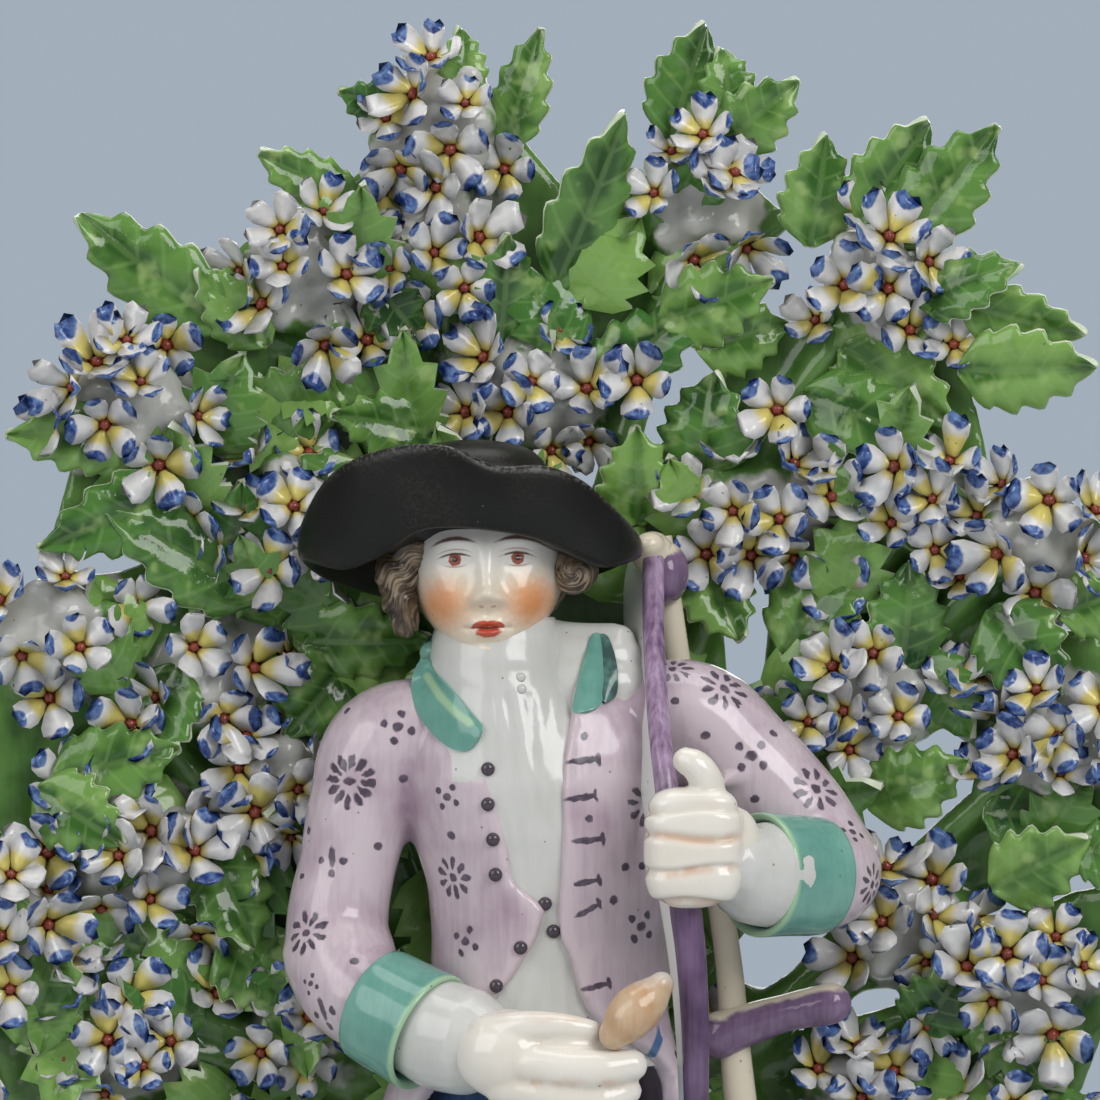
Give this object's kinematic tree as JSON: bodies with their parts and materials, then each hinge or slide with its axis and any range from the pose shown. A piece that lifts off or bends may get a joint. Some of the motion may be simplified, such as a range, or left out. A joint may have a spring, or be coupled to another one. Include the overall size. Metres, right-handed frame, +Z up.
{
  "type": "bocage figure",
  "caption": "Porcelain figure of a mower whetting a scythe, standing on a low scroll base before a fan-shaped flowering tree.",
  "frame": {"origin": "centre of the flat underside of the base", "axes": "+Z up, the figure faces -Y, and its right hand, with the whetstone, is towards -X"},
  "size_m": [0.1459, 0.0727, 0.25],
  "materials": {
    "glazed_porcelain": "clear gloss glaze over painted enamel colours"
  },
  "bodies": {
    "root": {"bocage_figure": "glazed_porcelain"}
  },
  "joints": []
}
